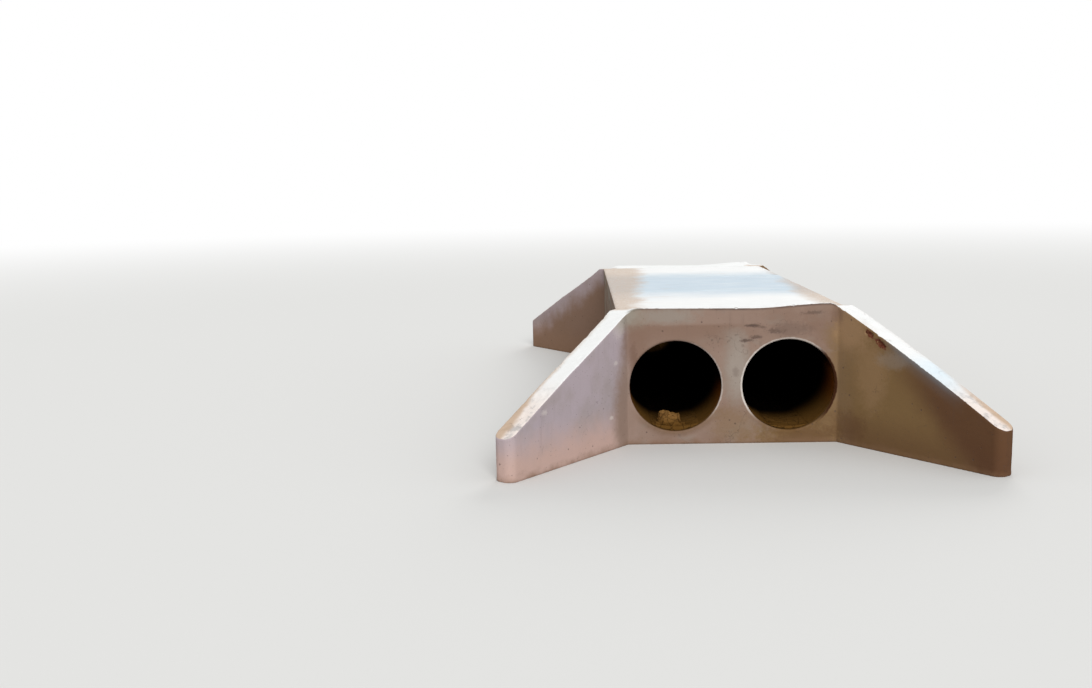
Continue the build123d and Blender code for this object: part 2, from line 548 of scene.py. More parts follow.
# Lines of the walls


def fold_x():
    """Half of the width of the level face, between its folds."""
    return WALL_HIGH.x - WALL_THICKNESS * math.sin(sizes().splay)


def fold_point(side, facing=1):
    """The foot of a fold, at the front end or, where facing is -1, at the rear end."""
    return Vector((side * fold_x(), FRONT * facing, 0))


def along_wing(side, facing=1):
    splay = sizes().splay
    return Vector((side * math.cos(splay), -math.sin(splay) * facing, 0))


def run_and_depth(x, y):
    """How far a place lies along a wing from its fold, and how far behind its inner face."""
    cosine, sine = math.cos(sizes().splay), math.sin(sizes().splay)
    past_fold = abs(x) - fold_x()
    past_face = abs(y) - HALF_LENGTH
    run = past_fold * cosine + past_face * sine
    return run, past_fold * sine - past_face * cosine


def slope_top(run):
    """Height of the tops before the trowel: level at the headwall, falling along a wing."""
    fall = (DECK_TOP - sizes().tip_height) / sizes().wing_length
    return DECK_TOP - larger(run, 0) * fall


def top_lift(x, y):
    """How high the trowel left the tops over their level or slope."""
    size = sizes()
    end = fold_x()
    start, crest = end - size.hump_length, end - size.hump_crest
    run, _ = run_and_depth(x, y)
    back = span(abs(y) - HALF_LENGTH, 0, -WALL_THICKNESS)
    lean = 1 - back * span(run, size.leaning, 0)
    on_left = is_under(x, 0)
    sunk = span(x, size.left_corner - end, -end)
    settled = on_left * span(run, 0, size.settling)
    lift = span(x, -end, start, size.left_rise, size.right_rise)
    lift = lift - sunk * sunk * (size.left_rise + size.left_sink)
    lift = lift * (1 - settled * settled)
    drop = span(x, crest, end)
    lift = lift + (ease(x, start, crest) - drop * drop) * size.hump_height
    share = span(run, 0, size.wing_length)
    return lean * lift + share * (1 - share) * (1 - on_left) * (4 * size.bow)


# Walls


def wall_mass(name):
    """A headwall and its two wings in one mass, at the front."""
    back = WALL_BACK + casting().overrun
    mass = block(name, (-fold_x(), FRONT, 0), (fold_x(), back, DECK_TOP))
    edit(mass)
    for side in (1, -1):
        draw_out_wing(mass, side, back)
    rub_down_top(mass)
    for side in (1, -1):
        open_barrel(mass, side)
    return mass


def draw_out_wing(mass, side, back):
    """Draws a wing out of one end of the block, lowers its tip and rounds the corners there."""
    splay, length = sizes().splay, sizes().wing_length
    overrun = casting().overrun
    corner = BACK_CORNER - overrun / math.tan(splay)
    slide = (WALL_THICKNESS + overrun - WALL_THICKNESS * math.cos(splay)) / math.sin(splay)
    fold, along = fold_point(side), along_wing(side)
    tip = fold + along * length
    close = 0.001

    # The back corner moves to the back of the wing, and the end face is drawn out and squared
    pick(mass, "VERT", lambda vertex: near(vertex.co, (side * fold_x(), back, None)))
    bpy.ops.transform.translate(value=(side * (corner - fold_x()), 0, 0))
    pick(
        mass,
        "FACE",
        lambda face: side * face.normal.x > 0.5 and side * face.calc_center_median().x > 0,
    )
    bpy.ops.mesh.extrude_region_move(TRANSFORM_OT_translate={"value": along * length})
    far_corner = Vector((side * corner, back, 0)) + along * length
    pick(mass, "VERT", lambda vertex: near(vertex.co, (far_corner.x, far_corner.y, None)))
    bpy.ops.transform.translate(value=along * slide)

    # The top gets an edge across it at the fold, and falls from there to the tip
    pick(mass, "FACE", lambda face: side * face.calc_center_median().x > fold_x())
    bpy.ops.mesh.bisect(plane_co=fold, plane_no=along)
    pick(
        mass,
        "VERT",
        lambda vertex: vertex.co.z > DECK_TOP - close
        and (vertex.co - fold).dot(along) > length - close,
    )
    bpy.ops.transform.translate(value=(0, 0, sizes().tip_height - DECK_TOP))
    pick(
        mass,
        "EDGE",
        lambda edge: all((vertex.co - tip).dot(along) > -close for vertex in edge.verts)
        and abs((edge.verts[0].co - edge.verts[1].co).normalized().z) > 0.99,
    )
    bpy.ops.mesh.bevel(offset=sizes().tip_rounding, segments=8, affect="EDGES")


def is_top_arris(edge):
    """Whether an edge lies between a top and a face that stands under it."""
    if len(edge.link_faces) != 2:
        return False
    rises = sorted(face.normal.z for face in edge.link_faces)
    return rises[1] > 0.5 and abs(rises[0]) < 0.3


def rub_down_top(piece):
    """Rounds the arrises of the top and ends the edit."""
    pick(piece, "EDGE", is_top_arris)
    bpy.ops.mesh.bevel(offset=sizes().arris, segments=3, affect="EDGES")
    finish_edit()


def open_barrel(mass, side):
    """Cuts one mouth, its worn edge and the seat of the pipe behind it."""
    past = casting().overrun + 0.02
    x = side * BARREL_X
    carve(mass, "DIFFERENCE", round_bar("mouth", BORE_RADIUS, FRONT - past, WALL_BACK, x))
    seat = round_bar("seat", SEAT_RADIUS, FRONT + MOUTH_DEPTH, WALL_BACK + past, x)
    carve(mass, "DIFFERENCE", seat)
    put_down_everything()
    lip = sizes().mouth_arris
    bpy.ops.mesh.primitive_cone_add(
        vertices=ROUND,
        radius1=BORE_RADIUS + 2 * lip,
        radius2=BORE_RADIUS - lip,
        depth=3 * lip,
        location=(x, FRONT + lip / 2, BARREL_Z),
        rotation=(-math.pi / 2, 0, 0),
    )
    carve(mass, "DIFFERENCE", named("mouth_edge"))


def raise_tops(piece):
    """Lifts the tops to where the trowel left them, and less the wall below."""
    reach = 0.30
    for vertex in piece.data.vertices:
        place = vertex.co
        top = slope_top(run_and_depth(place.x, place.y)[0])
        place.z += top_lift(place.x, place.y) * span(place.z, top - reach, top) ** 2


def wear_arrises(piece):
    """Knocks small chips out of the top edges."""
    ways = [vertex.normal.copy() for vertex in piece.data.vertices]
    for vertex, way in zip(piece.data.vertices, ways):
        if 0.25 < way.z < 0.92 and vertex.co.z > 0.3:
            chip = noise.noise(vertex.co * 6.5) + 0.5 * noise.noise(vertex.co * 19)
            vertex.co -= way * casting().chips * span(chip, 0.36, 0.76)


def spall_right_wing(piece):
    """Breaks the shallow hollows out of the top edge of the right wing, as on the real one."""
    ragged, steepness = 0.8, 2.4
    ways = [vertex.normal.copy() for vertex in piece.data.vertices]
    for spall_run, below, half_length, half_height, depth in SPALLS:
        for vertex, way in zip(piece.data.vertices, ways):
            place = vertex.co
            run, behind = run_and_depth(place.x, place.y)
            if place.x > fold_x() and abs(run - spall_run) < 2 * half_length:
                below_top = slope_top(run) + top_lift(place.x, place.y) - place.z
                aside = (run - spall_run) / half_length
                under = (below_top - below) / half_height
                away = Vector((aside, under, behind / half_height)).length
                edge = away + ragged * noise.noise(place * 30)
                vertex.co -= way * depth * span((1 - edge) * steepness, 0, 1)


def cast(piece, grid, keep, shaping):
    """Recasts a piece, shapes it, and gives it the waves of hand work above its foot."""
    recast(piece, grid)
    for shape in shaping:
        shape(piece)
    above_foot = piece.vertex_groups.new(name="above_foot")
    foot = 0.05
    lanes = {}
    for vertex in piece.data.vertices:
        lanes.setdefault(round(span(vertex.co.z, 0, foot), 1), []).append(vertex.index)
    for share, indices in lanes.items():
        above_foot.add(indices, share, "REPLACE")
    waves = (
        (0.55, 1, casting().form_sag),
        (0.16, 2, casting().hand_waves),
        (0.035, 3, casting().roughness),
    )
    roughen(piece, "waves", waves, 1.0, vertex_group=above_foot.name)
    thin_out(piece, keep)


def end_walls(end, facing, grid, shaping):
    """One end of the culvert: its mass is cast whole and cut at the folds, so no seam shows."""
    mass = wall_mass(f"{end}_mass")
    if facing < 0:
        take(mass)
        bpy.ops.transform.rotate(
            value=math.pi, orient_axis="Z", center_override=(0, 0, 0), orient_type="GLOBAL"
        )
        bpy.ops.object.transform_apply(location=True, rotation=True, scale=True)
    cast(mass, grid, KEPT[end], shaping)
    slice_off(mass, (0, facing * WALL_BACK, 0), (0, facing, 0))
    material = wall_finish()
    for word, side in SIDES:
        wing = copy_of(mass, f"cast_{end}_{word}_wing")
        seam, outward = fold_point(side, facing), along_wing(side, facing)
        slice_off(wing, seam, -outward)
        slice_off(mass, seam, outward)
        hand_over(wing, material, [f"{end}_{word}_wing_wall"])
    mass.name = f"cast_{end}_headwall"
    hand_over(mass, material, [f"{end}_headwall"])


class CULVERT_OT_front_end(bpy.types.Operator):
    """Cast the front headwall and its wings"""

    bl_idname = "culvert.front_end"
    bl_label = "Front end"

    def execute(self, context):
        shaping = (raise_tops, wear_arrises, spall_right_wing)
        end_walls("front", 1, casting().front_grid, shaping)
        return {"FINISHED"}


class CULVERT_OT_rear_end(bpy.types.Operator):
    """Cast the rear headwall and its wings"""

    bl_idname = "culvert.rear_end"
    bl_label = "Rear end"

    def execute(self, context):
        end_walls("rear", -1, casting().rear_grid, (raise_tops, wear_arrises))
        return {"FINISHED"}


# Deck and the concrete round the pipes


class CULVERT_OT_deck(bpy.types.Operator):
    """Cast the bays of the deck slab"""

    bl_idname = "culvert.deck"
    bl_label = "Deck"

    def execute(self, context):
        material = deck_finish()
        for number in range(1, BAYS + 1):
            node = f"deck_slab_{number}"
            low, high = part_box(node)
            front_seam, rear_seam = number == 1, number == BAYS
            start = low.y - (casting().overrun if front_seam else 0)
            end = high.y + (casting().overrun if rear_seam else 0)
            slab = block(f"cast_{node}", (low.x, start, low.z), (high.x, end, high.z))
            edit(slab)
            rub_down_top(slab)
            cast(slab, casting().deck_grid, KEPT["deck"], [wear_arrises])
            if front_seam:
                slice_off(slab, (0, low.y, 0), (0, -1, 0))
            if rear_seam:
                slice_off(slab, (0, high.y, 0), (0, 1, 0))
            hand_over(slab, material, [node])
        return {"FINISHED"}


def board_rows(low, high):
    """How many rows of boards a lift was shuttered with, and the height of one."""
    rows = max(1, round((high.z - low.z) / sizes().board_height))
    return rows, (high.z - low.z) / rows


def board_joints(draw, start, end):
    """Places of the joints between the boards of one row, 1.6 to 2.4 m apart."""
    shortest = 0.2
    joint = start + (0.9 + 0.9 * draw.random()) * draw.random()
    while joint < end - shortest:
        if joint > start + shortest:
            yield joint
        joint += 1.6 + 0.8 * draw.random()


def mark_boards(piece, low, high, seed):
    """Prints the shutter boards on both long sides, with mortar fins between them."""
    draw = random.Random(seed)
    rows, row_height = board_rows(low, high)
    edit(piece)
    for row in range(1, rows):
        split((0, 0, low.z + row * row_height), (0, 0, 1))
    for side in (1, -1):
        for row in range(rows):
            middle = low.z + (row + 0.5) * row_height
            for joint in board_joints(draw, low.y, high.y):
                pick(
                    piece,
                    "FACE",
                    lambda face: side * face.normal.x > 0.9
                    and abs(face.calc_center_median().z - middle) < row_height / 3,
                )
                bpy.ops.mesh.bisect(plane_co=(0, joint, 0), plane_no=(0, 1, 0))
    form = bmesh.from_edit_mesh(piece.data)
    form.faces.ensure_lookup_table()
    boards = [
        face.calc_center_median().copy() for face in form.faces if abs(face.normal.x) > 0.9
    ]
    for board in boards:
        pick(piece, "FACE", lambda face: near(face.calc_center_median(), board, 0.002))
        recess = 0.0008 + 0.0032 * draw.random()
        bpy.ops.mesh.inset(thickness=sizes().board_fin, depth=-recess)
    finish_edit()


class CULVERT_OT_surround(bpy.types.Operator):
    """Cast the two lifts of concrete round the pipes, marked by their shutter boards"""

    bl_idname = "culvert.surround"
    bl_label = "Concrete round the pipes"

    def execute(self, context):
        past, worn = 0.1, 0.0012
        material = surround_finish()
        nodes = ["lower_fill"] + [f"upper_fill_{number}" for number in range(1, BAYS + 1)]
        for seed, node in enumerate(nodes, start=41):
            low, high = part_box(node)
            lift = block(f"cast_{node}", low, high)
            mark_boards(lift, low, high, seed)
            start, end = low.y - past, high.y + past
            for side in (1, -1):
                seat = round_bar("seat", SEAT_RADIUS, start, end, side * BARREL_X)
                carve(lift, "DIFFERENCE", seat)
            modify(lift, "BEVEL", width=worn, segments=2, limit_method="ANGLE")
            hand_over(lift, material, [node], smooth_below=8)
        return {"FINISHED"}


# Barrels and what lies in them


def pointing(name, side, place):
    """An uneven bead of mortar that points a joint inside a barrel."""
    half_width, proud, sunk = 0.014, 0.004, 0.0015
    axis = (side * BARREL_X, place, BARREL_Z)
    put_down_everything()
    bpy.ops.mesh.primitive_circle_add(
        vertices=12,
        radius=1,
        location=(axis[0], place, BARREL_Z + BORE_RADIUS + sunk),
        rotation=(0, math.pi / 2, 0),
    )
    bpy.ops.transform.resize(value=(1, half_width, proud))
    bead = named(name)
    edit(bead)
    bpy.ops.mesh.select_all(action="SELECT")
    bpy.ops.mesh.spin(steps=ROUND, angle=2 * math.pi, center=axis, axis=(0, 1, 0))
    bpy.ops.mesh.select_all(action="SELECT")
    bpy.ops.mesh.remove_doubles(threshold=1e-5)
    bpy.ops.mesh.normals_make_consistent(inside=False)
    finish_edit()
    roughen(bead, "bead", ((0.09, 2, 0.005), (0.02, 2, 0.002)), 0.7)
    return bead


class CULVERT_OT_barrels(bpy.types.Operator):
    """Finish the pipes and point their joints"""

    bl_idname = "culvert.barrels"
    bl_label = "Barrels"

    def execute(self, context):
        material = pipe_finish()
        mortar = mortar_finish()
        first = FRONT + MOUTH_DEPTH
        step = -2 * first / BAYS
        for word, side in SIDES:
            for number in range(1, BAYS + 1):
                frame["nodes"][f"{word}_pipe_{number}"].material_slots[0].material = material
            for number in range(BAYS + 1):
                bead = pointing(f"{word}_pointing_{number + 1}", side, first + number * step)
                hand_over(bead, mortar)
        return {"FINISHED"}


def silt_bed(name, side, depth):
    """A long crescent of silt, deepest along the invert and feathered up the sides."""
    run = HALF_LENGTH - 0.03
    past = run + 0.1
    skin = 0.001
    hollow_radius = 2 * BORE_RADIUS
    x = side * BARREL_X
    bed = round_bar(name, BORE_RADIUS - 1.5 * skin, -run, run, x)
    hollow_z = INVERT + depth + hollow_radius
    hollow = round_bar("hollow", hollow_radius, -past, past, x, hollow_z, corners=2 * ROUND)
    carve(bed, "DIFFERENCE", hollow)
    recast(bed, casting().silt_grid, rounds=3)
    ripples = ((0.8, 3, 0.022), (0.09, 3, 0.006), (0.025, 3, 0.003))
    roughen(bed, "silt", ripples, 0.65, direction="Z")
    thin_out(bed, KEPT["silt"])
    carve(bed, "INTERSECT", round_bar("bore", BORE_RADIUS - skin, -past, past, x))
    return bed


def lump(name, place, reach, seed):
    """A lump of dried mud, split along flat faces and crumbled at its edges."""
    draw = random.Random(seed)
    put_down_everything()
    bpy.ops.mesh.primitive_ico_sphere_add(subdivisions=3, radius=1, scale=reach, location=place)
    clod = named(name)
    edit(clod)
    ways = [Vector(way).normalized() for way in FLAT_WAYS]
    ways += [Vector([draw.gauss(0, 1) for _ in range(3)]).normalized() for _ in range(9)]
    for number, way in enumerate(ways):
        out = (0.62 if number < len(FLAT_WAYS) else 0.70) + 0.14 * draw.random()
        point = Vector(place) + Vector([out * w * r for w, r in zip(way, reach)])
        split(point, way, use_fill=True, clear_outer=True)
    finish_edit()
    size = min(reach)
    recast(clod, size / 22)
    roughen(clod, name, ((0.70 * size, 3, 0.40 * size), (0.22 * size, 3, 0.16 * size)), 0.8)
    return clod


class CULVERT_OT_silt(bpy.types.Operator):
    """Lay the dried mud along the bottom of the barrels, with a clod in the left mouth"""

    bl_idname = "culvert.silt"
    bl_label = "Silt"

    def execute(self, context):
        material = mud_finish()
        for word, side in SIDES:
            bed = silt_bed(f"{word}_silt", side, SILT_DEPTHS[word])
            hand_over(bed, material)
        for name, (place, reach, seed) in LUMPS.items():
            hand_over(lump(name, place, reach, seed), material)
        return {"FINISHED"}


# Finishes, each built up in layers from one node tree


class Finish:
    """A material under construction. Its methods return levels that vary over the surface."""

    def __init__(self, name):
        self.material = bpy.data.materials.new(name)
        self.material.use_nodes = True
        self.tree = self.material.node_tree
        self.shader = self.tree.nodes["Principled BSDF"]
        self.place = self.node("ShaderNodeTexCoord").outputs["Object"]
        self.x, self.y, self.z = self.parts(self.place)
        self.rise = self.parts(self.node("ShaderNodeNewGeometry").outputs["Normal"])[2]
        self.made_clouds = {}

    def join(self, made, inputs):
        """Gives a node its inputs, each a level, a socket or a value."""
        for key, value in inputs.items():
            if isinstance(value, Level):
                value = value.socket
            if isinstance(value, bpy.types.NodeSocket):
                self.tree.links.new(value, made.inputs[key])
            else:
                made.inputs[key].default_value = value

    def node(self, kind, inputs=(), **settings):
        made = self.tree.nodes.new(kind)
        for name, value in settings.items():
            setattr(made, name, value)
        self.join(made, dict(inputs))
        return made

    def sum(self, kind, first, second=0.0):
        made = self.node("ShaderNodeMath", {0: first, 1: second}, operation=kind)
        return Level(self, made.outputs[0])

    def parts(self, vector):
        """The three coordinates of a vector or levels of a colour."""
        sockets = self.node("ShaderNodeSeparateXYZ", {0: vector}).outputs
        return [Level(self, socket) for socket in sockets]

    def length(self, vector):
        made = self.node("ShaderNodeVectorMath", {0: vector}, operation="LENGTH")
        return Level(self, made.outputs["Value"])

    def from_end(self):
        """How far inwards of the nearer face a place lies, along the barrels."""
        return HALF_LENGTH - abs(self.y)

    def moved(self, centre, reach):
        """Object coordinates measured from a centre in units of a reach."""
        shift = tuple(-middle / size for middle, size in zip(centre, reach))
        scale = tuple(1 / size for size in reach)
        inputs = {"Vector": self.place, "Location": shift, "Scale": scale}
        return self.node("ShaderNodeMapping", inputs).outputs[0]

    def clouds(self, size, detail, roughness, stretch=(1, 1, 1), seed=0.0):
        """Noise from 0 to 1 with features of about that size in metres."""
        key = (size, detail, roughness, stretch, seed)
        if key not in self.made_clouds:
            reach = tuple(size * part for part in stretch)
            inputs = {"Vector": self.moved((seed, seed * 0.7, -seed), reach)}
            inputs.update({"Scale": 1.0, "Detail": detail, "Roughness": roughness})
            made = self.node("ShaderNodeTexNoise", inputs)
            self.made_clouds[key] = Level(self, made.outputs["Fac"])
        return self.made_clouds[key]

    def fleck(self, size, strength, detail=4.0, stretch=(1, 1, 1), seed=0.0):
        """Noise round 0, up to about that strength each way."""
        return (self.clouds(size, detail, 0.6, stretch, seed) - 0.5) * (2 * strength)

    def patch(self, centre, reach, ragged, grain):
        """A patch round a centre with a soft, ragged edge."""
        away = self.length(self.moved(centre, reach))
        edge = self.fleck(grain, ragged) + self.fleck(grain / 4, 0.6 * ragged)
        return ease(away + edge, 1.2, 0.35)

    def hairlines(self, spacing, width, seed):
        """Fine cracks that wander a little: 1 along the middle of a crack."""
        bend, sway = 0.12, 0.35
        inputs = {"Vector": self.moved((seed, 0, seed), (bend,) * 3), "Scale": 1.0, "Detail": 4.0}
        random_way = self.node("ShaderNodeTexNoise", inputs).outputs["Color"]
        inputs = {0: random_way, "Scale": sway}
        shift = self.node("ShaderNodeVectorMath", inputs, operation="SCALE").outputs[0]
        inputs = {0: self.moved((seed,) * 3, (spacing,) * 3), 1: shift}
        bent = self.node("ShaderNodeVectorMath", inputs, operation="ADD").outputs[0]
        inputs = {"Vector": bent, "Scale": 1.0}
        cells = self.node("ShaderNodeTexVoronoi", inputs, feature="DISTANCE_TO_EDGE")
        distance = Level(self, cells.outputs["Distance"])
        return ease(distance, width / spacing, 0.2 * width / spacing)

    def pits(self, spacing, share, seed):
        """Round pits left by air against the form: 1 at the middle of a pit."""
        inputs = {"Vector": self.moved((seed,) * 3, (spacing,) * 3), "Scale": 1.0}
        cells = self.node("ShaderNodeTexVoronoi", inputs)
        chosen = self.parts(cells.outputs["Color"])[0]
        hole = ease(Level(self, cells.outputs["Distance"]), 0.22, 0.10)
        return hole * ease(chosen, 1 - share, 1 - share + 0.02)

    def surface(self, colour, uneven, roughness, height, distance, gloss=0.25):
        """Joins colour, roughness and a bump of that height in metres to the shader.

        The roughness goes from its first level to its second as the uneven noise rises.
        """
        inputs = {"Height": height, "Distance": distance, "Strength": 1.0}
        bump = self.node("ShaderNodeBump", inputs).outputs[0]
        rough = ease(uneven, 0.3, 0.7, *roughness)
        inputs = {"Base Color": colour, "Roughness": rough, "Normal": bump}
        self.join(self.shader, inputs)
        self.shader.inputs["Specular IOR Level"].default_value = gloss
        return self.material


def mixed(finish, share, below, above, kind="MIX"):
    """The colour above mixed into the one below. Sockets 6 and 7 of the node take them."""
    inputs = {0: share, 6: below, 7: above}
    made = finish.node("ShaderNodeMix", inputs, data_type="RGBA", blend_type=kind)
    return made.outputs[2]


def blend(share, below, above):
    """The colour below, covered by the colour above as far as the share says."""
    layers = [
        layer if isinstance(layer, bpy.types.NodeSocket) else (*layer, 1)
        for layer in (below, above)
    ]
    return mixed(share.finish, share, *layers)


def layered(colour, *layers):
    """The colour under further layers, each of which is a share and a colour."""
    for share, above in layers:
        colour = blend(share, colour, above)
    return colour


def shade(colour, level):
    """The colour made lighter or darker by a level about 1."""
    grey = level.finish.node("ShaderNodeCombineXYZ", {0: level, 1: level, 2: level})
    return mixed(level.finish, 1.0, colour, grey.outputs[0], "MULTIPLY")


def trowelled_sunlit_colour(finish, cool, cool_colour):
    """Laitance of the tops, finished by the trowel and painted near white as sunlit: bluish where cool,
    dragged by the trowel and dusty.
    """
    paint = colours()
    drags = finish.clouds(0.30, 5.0, 0.6, (2.4, 0.6, 1), seed=3.0)
    dust = ease(finish.clouds(0.7, 6.0, 0.65, seed=8.0), 0.58, 0.80)
    specks = ease(finish.clouds(0.014, 2.0, 0.7, seed=5.0), 0.68, 0.80)
    sweep = ease(finish.clouds(0.05, 4.0, 0.6, (6, 1, 1), seed=6.0), 0.3, 0.7, 0.965, 1.0)
    colour = layered(
        paint.trowelled_sunlit,
        (cool * ease(drags, 0.25, 0.60, 0.75, 1.0), cool_colour),
        (dust * 0.22, paint.dust),
        (specks * 0.16, paint.speck),
    )
    return shade(colour, sweep)


def concrete_height(finish, grain):
    """Bump of cast concrete: sand grain, small waves and air pits, and the pits alone."""
    sand = finish.clouds(grain, 4.0, 0.65) * 0.35
    waves = finish.clouds(grain * 9, 3.0, 0.5, seed=2.0) * 0.65
    holes = larger(finish.pits(0.024, 0.16, 1.0), finish.pits(0.061, 0.10, 4.0)) * 1.6
    return sand + waves - holes, holes


def bore_colour(finish):
    """Wall of the pipes, painted near black as the shade inside them: dirt shows low down by the mouths
    where painted light falls, and lies higher in the right barrel as a painted sunlit band.
    """
    paint = colours()
    on_right = span(finish.x, -0.1, 0.1)
    outwards = (abs(finish.x) - BARREL_X) / BORE_RADIUS
    down = (BARREL_Z - finish.z) / BORE_RADIUS
    # Painted sunlight: on the outer side of the right barrel the dirt reaches higher, as the lit band
    # there
    reach = down + larger(outwards * 0.62, outwards * 0.25) * on_right
    reach = reach + finish.fleck(0.10, 0.16, 5.0, (1, 2, 1), seed=6.0)
    reach = reach + ease(finish.x, 0.1, -0.1, 0.0, 0.12)
    lit = ease(finish.from_end() - down * 0.30, 0.72, 0.0)
    # Dirt shows only where painted light falls, near the mouths and low down; elsewhere the wall keeps
    # its near-black painted shade
    lit_dirt = ease(reach, -0.08, 0.48) * lit * span(finish.y, -0.1, 0.1, 1.0, 0.6)
    dirt = blend(ease(down, 0.0, 0.65), paint.bore_rust, paint.mud)
    dirt = shade(dirt, 0.95 + finish.fleck(0.05, 0.25, 5.0, seed=2.0))
    return blend(lit_dirt, paint.bore, dirt)


def wall_tones(finish, run, middling):
    """Ground colour of the walls: grey brown face, lilac left wing painted lighter as lit and olive
    right wing painted darker as shaded, besides their own tones, with painted light by the right fold.
    """
    paint = colours()
    broad = finish.clouds(0.60, 5.0, 0.6)
    face = layered(
        paint.face,
        (ease(broad, 0.40, 0.70, 0.0, 0.6), paint.face_warm),
        (ease(middling, 0.50, 0.76, 0.0, 0.5), paint.face_grey),
    )
    lilac = blend(ease(broad, 0.42, 0.68, 0.0, 0.40), paint.lilac, paint.face_grey)
    sway = finish.fleck(0.35, 0.10, seed=1.0)
    # Painted light and shade: the lilac left wing is written lighter as lit and the olive right wing
    # darker as shaded, besides their own tones
    to_left = ease(finish.x + sway, -1.00, -1.28)
    to_right = ease(finish.x + sway, 0.98, 1.36)
    # Painted reflected light: a pinkish glow of the ground on the lower left wing, painted as dust
    dusty_glow = ease(finish.z + finish.fleck(0.20, 0.12, 5.0, seed=3.0), 0.55, 0.10)
    # The right wing grows darker brown toward its end and top, and toward its foot
    slant = run + finish.z * 1.08 + finish.fleck(0.22, 0.10)
    far = ease(slant, 1.42, 1.92) * ease(finish.x, 1.2, 1.3) * ease(run, 0.50, 1.35, 0.20, 1.0)
    # Painted light: the wing side of the right fold is made paler, against the shade of the turned wing
    lit_by_fold = ease(run, -0.02, 0.02) * ease(run, 0.55, 0.05)
    lit_by_fold = lit_by_fold * ease(finish.z, 0.80, 1.15) * ease(finish.x, 0.5, 1.0)
    dark_low_right = to_right * ease(finish.z, 0.50, 0.05)
    return layered(
        face,
        (to_left, lilac),
        (to_left * dusty_glow * 0.85, paint.pink_dust_and_glow),
        (to_right, paint.olive),
        (far * 0.85, paint.umber),
        (lit_by_fold * 0.42, paint.tawny_and_lit),
        (dark_low_right * 0.45, paint.umber),
    )


def marks_of_the_form(finish, colour, below_top):
    """The board line across the face, a painted shadow under the lip of the top, and runs of water."""
    paint = colours()
    under_line = LINE_HEIGHT + finish.fleck(0.30, 0.006) - finish.z
    on_face = ease(abs(finish.x), fold_x() + 0.02, fold_x() - 0.05)
    band = ease(under_line, -0.022, 0.022) * ease(under_line, 0.34, 0.06)
    band = band * on_face * ease(finish.x, 0.30, -0.15, 0.25, 0.80)
    broken = ease(finish.clouds(0.20, 4.0, 0.6, seed=11.0), 0.35, 0.62, 0.60, 1.0)
    # Painted shadow: a dark line just under the top edge
    lip = ease(below_top, 0.042, 0.018) * broken * on_face
    streaks = ease(finish.clouds(0.06, 3.0, 0.6, (1, 1, 12), seed=7.0), 0.56, 0.76)
    streaks = streaks * ease(below_top, 0.8, 0.02)
    return layered(
        colour, (band, paint.face_warm), (lip * 0.80, paint.soot_and_shade), (streaks * 0.16, paint.soot_and_shade)
    )


def stained(finish, colour, run, behind, below_top):
    """Stains of the real one, with light and shade painted by the folds and a sheen painted under the
    right wing's top edge, and soil on the foot and on the sides that stood in the ground.
    """
    paint = colours()
    stains = [
        (finish.patch((x, FRONT + y, z), reach, ragged, grain) * strength, getattr(paint, stain))
        for (x, y, z), reach, stain, strength, ragged, grain in STAINS
    ]
    # Painted sheen: a bluish grey band just under the top edge of the right wing, over rubbed concrete
    rubbed = ease(run, 0.50, 0.85) * ease(run, 1.60, 1.25) * ease(finish.x, 1.2, 1.25)
    splash = finish.z + finish.fleck(0.16, 0.10, 6.0, seed=9.0)
    buried = ease(behind, WALL_THICKNESS - 0.03, WALL_THICKNESS - 0.012)
    clinging = 0.30 - below_top + finish.fleck(0.35, 0.30, 6.0, seed=14.0)
    return layered(
        colour,
        *stains,
        (rubbed * ease(below_top, 0.20, 0.05) * 0.22, paint.steel_grey_and_sheen),
        (rubbed * ease(below_top, 0.09, 0.02) * 0.50, paint.steel_grey_and_sheen),
        (ease(splash, 0.09, -0.05, 0.0, 0.8), paint.soil),
        (buried * ease(clinging, 0.35, -0.15, 0.25, 0.9), paint.soil),
    )


def spalled(finish, run, behind, below_top):
    """The hollows in the top edge of the front right wing."""
    hollows = 0.0
    worn = finish.fleck(0.03, 0.65, 5.0, seed=17.0)
    for spall_run, below, half_length, half_height, _ in SPALLS:
        aside = (run - spall_run) / half_length
        under = (below_top - below) / half_height
        edge = finish.sum("SQRT", aside * aside + under * under) + worn
        hollows = larger(ease(edge, 1.35, 0.95), hollows)
    broken = ease(finish.clouds(0.030, 3.0, 0.6, seed=21.0), 0.34, 0.48)
    inner = ease(behind, 0.05, 0.02) * ease(finish.x, 1.20, 1.22)
    return hollows * broken * inner * is_under(finish.y, 0.0)


